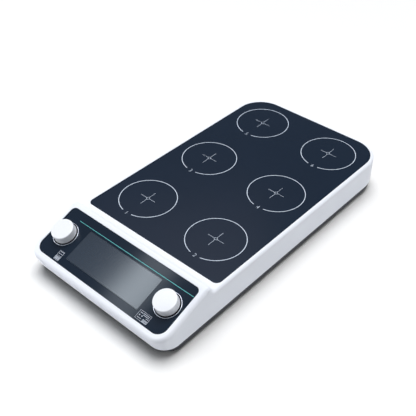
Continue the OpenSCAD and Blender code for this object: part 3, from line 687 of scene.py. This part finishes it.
line = printed_bar(LINE_LEFT, LINE_RIGHT, -LINE_DOWN - LINE_W / 2, -LINE_DOWN + LINE_W / 2, LINE_CORNER)
line.name = "panel_line"
put_on_panel(line, LINE_INK)

icon(
    "timer_icon",
    left=51.7 * MM,
    down=44.5 * MM,
    box=(14, 8.8),
    bars=[
        (1.4, 4.7, 1.9),
        (5.4, 12.8, 1.5),
        (5.4, 12.8, 2.9),
        (10, 13.2, 4.4),
        (1.4, 6.2, 6.9),
        (7.9, 13.6, 6.2),
        (7.9, 13.6, 7),
        (7.9, 13.6, 7.8),
        (7.9, 13.6, 8.5),
    ],
    dots=[(2.3, 4.4), (5.3, 4.4)],
)
icon(
    "speed_icon",
    left=-59.9 * MM,
    down=43.2 * MM,
    box=(6.4, 10.4),
    bars=[
        (0.4, 6, 0.9),
        (0.4, 6, 3.2),
        (1, 2.2, 5.5),
        (2.8, 4, 5.5),
        (4.6, 5.8, 5.5),
        (0.2, 6.2, 6.6),
        (0.2, 6.2, 7.3),
        (0.2, 6.2, 8),
        (0.2, 6.2, 8.7),
        (0.2, 6.2, 9.4),
    ],
)


# Knobs, the bright rings round them, and near-black rings printed under them as painted shade in the
# gaps round the knobs

KNOB_R = 11.7 * MM
KNOB_H = 8.4 * MM
KNOB_GAP = 1.0 * MM
KNOB_WALL = 1.8 * MM
KNOB_EDGE = 1.0 * MM
KNOB_FOOT = 0.2 * MM
KNOB_DRAFT = 0.25 * MM
SKIRT_H = 1.6 * MM
HUB_R = 5.0 * MM
HUB_FOOT = 2.9 * MM
BORE_R = 3.1 * MM
BORE_GAP = 0.1 * MM
TRIM_R = 13.0 * MM
TRIM_W = 0.5 * MM
TRIM_H = 0.4 * MM
TRIM_EDGE = 0.22 * MM
# Near-black ring under each knob's gap: painted shade in the gap round the knob
SHADE_RING_R = 11.9 * MM
SHADE_RING_W = 1.5 * MM


def pick_rim(radius, z):
    """In edit mode, selects the edges of a circle round the origin."""

    def on_rim(vertex):
        return abs(vertex.z - z) < NEAR and abs(vertex.xy.length - radius) < 10 * NEAR

    pick_edges(lambda first, second: on_rim(first) and on_rim(second))


def turned_knob():
    """Knob round the origin: a hollow cap with a hub, a rounded edge and a slight skirt."""
    top = KNOB_GAP + KNOB_H
    ceiling = top - KNOB_WALL
    skirt_top = KNOB_GAP + SKIRT_H
    slim = (KNOB_R - KNOB_DRAFT) / KNOB_R
    bpy.ops.mesh.primitive_cylinder_add(
        vertices=96, radius=KNOB_R, depth=KNOB_H, location=(0, 0, KNOB_GAP + KNOB_H / 2)
    )
    fix_place(bpy.context.object)
    begin()
    pick_faces(lambda middle, normal: normal.z < -LEVEL)
    bpy.ops.mesh.inset(thickness=KNOB_WALL)
    raise_by(ceiling - KNOB_GAP)
    bpy.ops.mesh.inset(thickness=KNOB_R - KNOB_WALL - HUB_R)
    raise_by(HUB_FOOT - ceiling)
    bpy.ops.mesh.inset(thickness=HUB_R - BORE_R)
    raise_by(ceiling + BORE_GAP - HUB_FOOT)

    def outer_side(middle, normal):
        return abs(normal.z) < WALL and middle.xy.length > KNOB_R - KNOB_WALL / 2

    pick_faces(outer_side)
    bpy.ops.mesh.bisect(plane_co=(0, 0, skirt_top), plane_no=(0, 0, 1))
    for z in (skirt_top, top):
        pick_rim(KNOB_R, z)
        bpy.ops.transform.resize(value=(slim, slim, 1), center_override=(0, 0, 0))
    pick_rim(KNOB_R - KNOB_DRAFT, top)
    bpy.ops.mesh.bevel(offset=KNOB_EDGE, segments=6, affect="EDGES")
    pick_rim(KNOB_R, KNOB_GAP)
    bpy.ops.mesh.bevel(offset=KNOB_FOOT, segments=4, affect="EDGES")
    return end()


def turned_ring():
    """Flat ring round the origin with softened edges."""
    bpy.ops.mesh.primitive_circle_add(vertices=128, radius=TRIM_R + TRIM_W / 2, fill_type="NGON")
    begin()
    raise_outline(TRIM_W, TRIM_H)
    for radius in (TRIM_R - TRIM_W / 2, TRIM_R + TRIM_W / 2):
        pick_rim(radius, TRIM_H)
        bpy.ops.mesh.bevel(offset=TRIM_EDGE, segments=5, affect="EDGES")
    face_out()
    return end()


def copy_to_panel(source, name, place):
    """A copy with its own mesh, stood on the panel at a knob's axis."""
    made = own_copy(source, name)
    made.location = place
    made.rotation_euler = (PANEL_TILT, 0, 0)
    fix_place(made)
    smooth(made)
    return made


knob_pattern = turned_knob()
ring_pattern = turned_ring()
shade_ring_pattern = printed_circle(0, 0, SHADE_RING_R, SHADE_RING_W, vertices=96)
rings = []
shade_rings = []
for dial in ("speed", "timer"):
    axis = Vector(joints[f"{dial}_turn"]["pos_m"])
    cap = copy_to_panel(knob_pattern, f"{dial}_knob_cap", axis)
    paint(cap, KNOB_WHITE)
    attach(cap, f"{dial}_dial")
    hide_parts(f"{dial}_knob")
    rings.append(copy_to_panel(ring_pattern, f"{dial}_ring", axis))
    shade_rings.append(copy_to_panel(shade_ring_pattern, f"{dial}_well", axis))
trim = join(rings, "trim_rings")
paint(trim, TRIM_CHROME)
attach(trim, "housing")
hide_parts("knob_trim_rings")
# The near-black rings are painted shade in the gaps round the knobs
painted_shade = join(shade_rings, "knob_painted_shade")
paint(painted_shade, PAINTED_SHADE_INK)
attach(painted_shade, "housing")
for made in (knob_pattern, ring_pattern, shade_ring_pattern):
    bpy.data.objects.remove(made)


# Off and on marks on the power rocker, one on each half of its dished face

ROCKER_HALF = 7.4 * MM
ROCKER_END = 5.4 * MM
ROCKER_DISH = 1.0 * MM
ROCKER_TILT = math.radians(9)
MARK_R = 1.5 * MM
MARK_LINE = 0.5 * MM

pivot = Vector(joints["power_rock"]["pos_m"])
off_and_on = {
    -1: printed_circle(0, 0, MARK_R, MARK_LINE, vertices=32),
    1: printed_bar(-MARK_LINE / 2, MARK_LINE / 2, -MARK_R, MARK_R, BAR_CORNER),
}
for side, mark in off_and_on.items():
    face = Vector((side * ROCKER_HALF / 2, ROCKER_END - ROCKER_DISH / 2, 0))
    face.rotate(Euler((0, 0, ROCKER_TILT)))
    lean = ROCKER_TILT + side * math.atan(ROCKER_DISH / ROCKER_HALF)
    mark.location = pivot + face
    mark.rotation_euler = (math.pi / 2, 0, math.pi + lean)
    fix_place(mark)
rocker_marks = join(list(off_and_on.values()), "rocker_marks")
paint(rocker_marks, MARK_INK)
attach(rocker_marks, "rocker")


# Case: the moulding, with the soft step from the console's ridge down to the rim

RIDGE_BORDER = 7 * MM
FRAME_RISE = 0.3 * MM
STEP_PROUD = 0.03 * MM
CREST_R = 4.2 * MM
COVE_SIDE = 5.5 * MM
STEP_END = 3.8 * MM
STEP_DEEP = 6 * MM
STEP_FRONT = 6.4 * MM
GLASS_GAP = 1.2 * MM
RIDGE_BLANK = 20 * MM
CUT_FAR = 4 * MM
CUT_FRONT = 1 * MM
CUT_REAR = 0.4 * MM


def soft_step():
    """Ridge on a low slab, as wide as the case.

    It has a rounded crest, a cove at its foot and rounded ends.
    """
    # The ridge's rear face stands square to the panel, from its foot on the rim up to the crest
    up_slope = Vector((0, math.cos(PANEL_TILT), math.sin(PANEL_TILT)))
    lift = Vector((0, -math.sin(PANEL_TILT), math.cos(PANEL_TILT)))
    crest = PANEL_TOP + up_slope * (RIDGE_BORDER + STEP_PROUD) + lift * (FRAME_RISE + STEP_PROUD)
    top = WORKTOP_Z + STEP_PROUD
    foot = crest - lift * ((crest.z - top) / lift.z)
    front = foot - up_slope * STEP_FRONT
    front = front + lift * ((top - front.z) / lift.z)
    rear_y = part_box("worktop")[0].y - GLASS_GAP
    half_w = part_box("upper_case")[1].x - STEP_PROUD / 2
    bpy.ops.mesh.primitive_cube_add(
        size=1, location=(0, (front.y + rear_y) / 2, top - STEP_DEEP / 2)
    )
    slab = bpy.context.object
    slab.scale = (2 * half_w, rear_y - front.y, STEP_DEEP)
    fix_place(slab)
    begin()
    pick_all()
    bpy.ops.mesh.bisect(plane_co=foot, plane_no=(0, 1, 0))
    pick_faces(lambda middle, normal: normal.z > LEVEL and middle.y < foot.y)
    bpy.ops.mesh.extrude_region_move(TRANSFORM_OT_translate={"value": lift * RIDGE_BLANK})
    pick_all()
    bpy.ops.mesh.bisect(plane_co=crest, plane_no=lift, use_fill=True, clear_outer=True)
    pick_all()
    bpy.ops.mesh.dissolve_limited(angle_limit=math.radians(1))
    pick_edges(lambda *ends: all((point.yz - crest.yz).length < NEAR for point in ends))
    bpy.ops.mesh.bevel(offset=CREST_R, segments=8, affect="EDGES")
    pick_edges(lambda *ends: all((point.yz - foot.yz).length < NEAR for point in ends))
    bpy.ops.mesh.bevel(offset=COVE_SIDE, segments=10, affect="EDGES")
    pick_edges(
        lambda *ends: all(abs(abs(point.x) - half_w) < NEAR for point in ends)
        and all(point.z > top - NEAR for point in ends)
        and ends[0].x * ends[1].x > 0
        and not all(abs((point - front).dot(up_slope)) < NEAR for point in ends)
    )
    bpy.ops.mesh.bevel(offset=STEP_END, segments=6, affect="EDGES")
    face_out()
    return end()


step = soft_step()
step_low, step_high = Vector(step.bound_box[0]), Vector(step.bound_box[6])
case = own_copy(nodes["upper_case"], "case_moulding")
alone(case)
bpy.ops.mesh.customdata_custom_splitnormals_clear()
begin()
pick_all()
bpy.ops.mesh.remove_doubles(threshold=NEAR)
face_out()
# Cuts across the case before and behind the step, so that its long faces end near it
cuts_before = (step_low.y - CUT_FAR, step_low.y - CUT_FRONT)
cuts_behind = (step_high.y + CUT_REAR, step_high.y + CUT_FAR)
for y in cuts_before + cuts_behind:
    pick_all()
    bpy.ops.mesh.bisect(plane_co=(0, y, 0), plane_no=(0, 1, 0), threshold=0.1 * NEAR)
end()
merge = case.modifiers.new("step", "BOOLEAN")
merge.operation = "UNION"
merge.solver = "MANIFOLD"
merge.object = step
bpy.ops.object.modifier_apply(modifier="step")
bpy.data.objects.remove(step)
smooth(case, degrees=30)
even = case.modifiers.new("even", "WEIGHTED_NORMAL")
even.keep_sharp = True
bpy.ops.object.modifier_apply(modifier="even")
paint(case, CASE_WHITE)
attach(case, "housing")
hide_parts("upper_case")


# Stage: floor, light and camera

FLOOR_SIZE = 12.0
GLOW_NEAR = 0.28
GLOW_FAR = 0.5
DIMMED = 0.26
# Colours of the studio by height, from 0 at the horizon to 1 overhead
SKY_STOPS = [
    (0.2, (0.93, 0.97, 1.0, 1.0)),
    (0.4, (0.15, 0.155, 0.165, 1.0)),
    (0.62, (0.17, 0.175, 0.185, 1.0)),
    (0.75, (0.26, 0.27, 0.285, 1.0)),
]

bpy.ops.mesh.primitive_plane_add(size=FLOOR_SIZE)
floor = bpy.context.object
floor.name = "floor"
# White wherever it is seen, but only the floor near the object throws light back on it
floor_finish = Finish("floor_white")
away = floor_finish.node(
    "ShaderNodeVectorMath", {"operation": "LENGTH"}, {0: floor_finish.place()}, output="Value"
)
far = floor_finish.node(
    "ShaderNodeMapRange", None, {"Value": away, "From Min": GLOW_NEAR, "From Max": GLOW_FAR}
)
thrown = far * floor_finish.node("ShaderNodeLightPath", output="Is Diffuse Ray")
white = floor_finish.between(floor_finish.noise(scale=3.0), grey(0.86), grey(0.87))
paint(
    floor,
    floor_finish.set(
        Base_Color=floor_finish.between(thrown, white, grey(0.1)),
        Roughness=0.9,
        Specular_IOR_Level=0.0,
    ),
)

# White walls round the studio, and a dimmer ceiling. They count for less as light on the object
# than as a background or a reflection
world = bpy.data.worlds.new("studio")
world.use_nodes = True
bpy.context.scene.world = world
studio = Graph(world.node_tree)
direction = studio.node("ShaderNodeTexCoord", output="Generated")
upward = studio.node("ShaderNodeSeparateXYZ", None, {0: direction}, output="Z")
sky = studio.node("ShaderNodeValToRGB", {"stops": SKY_STOPS}, {"Fac": upward})
seen = (
    studio.node("ShaderNodeLightPath", output="Is Camera Ray")
    + studio.node("ShaderNodeLightPath", output="Is Glossy Ray")
    + studio.node("ShaderNodeLightPath", output="Is Transmission Ray")
)
background = world.node_tree.nodes["Background"]
studio.feed(background.inputs["Color"], sky)
studio.feed(background.inputs["Strength"], DIMMED + (1 - DIMMED) * seen)


def lamp(name, kind, energy, aim, place=(0, 0, 0), roll=0.0, **settings):
    """A lamp at a place that shines along aim, turned about it by roll."""
    data = bpy.data.lights.new(name, kind)
    data.energy = energy
    for key, value in settings.items():
        setattr(data, key, value)
    made = bpy.data.objects.new(name, data)
    turn = Vector(aim).to_track_quat("-Z", "Y") @ Quaternion((0, 0, 1), roll)
    made.rotation_euler = turn.to_euler()
    made.location = place
    made.visible_camera = False
    bpy.context.scene.collection.objects.link(made)


def area_lamp(name, energy, width, height, **settings):
    """A rectangular lamp."""
    lamp(name, "AREA", energy, shape="RECTANGLE", size=width, size_y=height, **settings)


lamp("overhead", "SUN", 3.05, aim=(0.08, -0.2, -1.0), angle=math.radians(47))

# Long softbox to the left, which the display mirrors
area_lamp(
    "softbox",
    energy=2.5,
    width=1.6,
    height=0.11,
    aim=(0.538, 0.131, -0.832),
    place=(-0.804, -0.357, 1.35),
    roll=math.radians(-25),
    color=(0.9, 0.995, 1.065),
)

# Dim screen behind on the left, which the front of the worktop mirrors
area_lamp(
    "screen",
    energy=0.5,
    width=0.6,
    height=0.5,
    aim=(0.50, -0.46, -0.73),
    place=(-0.75, 0.65, 1.21),
    color=(1.08, 0.97, 1.03),
)

# White cards for the walls, one low in front on the left, one higher behind on the right
area_lamp(
    "front_card",
    energy=2.2,
    width=0.5,
    height=0.25,
    aim=(0.80, 0.59, -0.12),
    place=(-0.6, -0.62, 0.14),
)
area_lamp(
    "right_card",
    energy=2.3,
    width=1.0,
    height=0.3,
    aim=(-0.85, -0.42, -0.35),
    place=(1.05, 0.52, 0.46),
)

CAMERA_PLACE = (0.37776, -0.43750, 0.49935)
CAMERA_AZIMUTH = math.radians(42.02)
CAMERA_ELEVATION = math.radians(39.89)
CAMERA_ROLL = math.radians(-0.174)
LENS = 61.58
SENSOR_W = 36.0

camera_data = bpy.data.cameras.new("photo_view")
camera_data.lens = LENS
camera_data.sensor_width = SENSOR_W
camera = bpy.data.objects.new("photo_view", camera_data)
bpy.context.scene.collection.objects.link(camera)
view_back = Vector(
    (
        math.sin(CAMERA_AZIMUTH) * math.cos(CAMERA_ELEVATION),
        -math.cos(CAMERA_AZIMUTH) * math.cos(CAMERA_ELEVATION),
        math.sin(CAMERA_ELEVATION),
    )
)
upright = (-view_back).to_track_quat("-Z", "Y")
camera.location = CAMERA_PLACE
camera.rotation_mode = "QUATERNION"
camera.rotation_quaternion = upright @ Quaternion((0, 0, 1), CAMERA_ROLL)
bpy.context.scene.camera = camera
bpy.context.scene.view_settings.view_transform = "Standard"
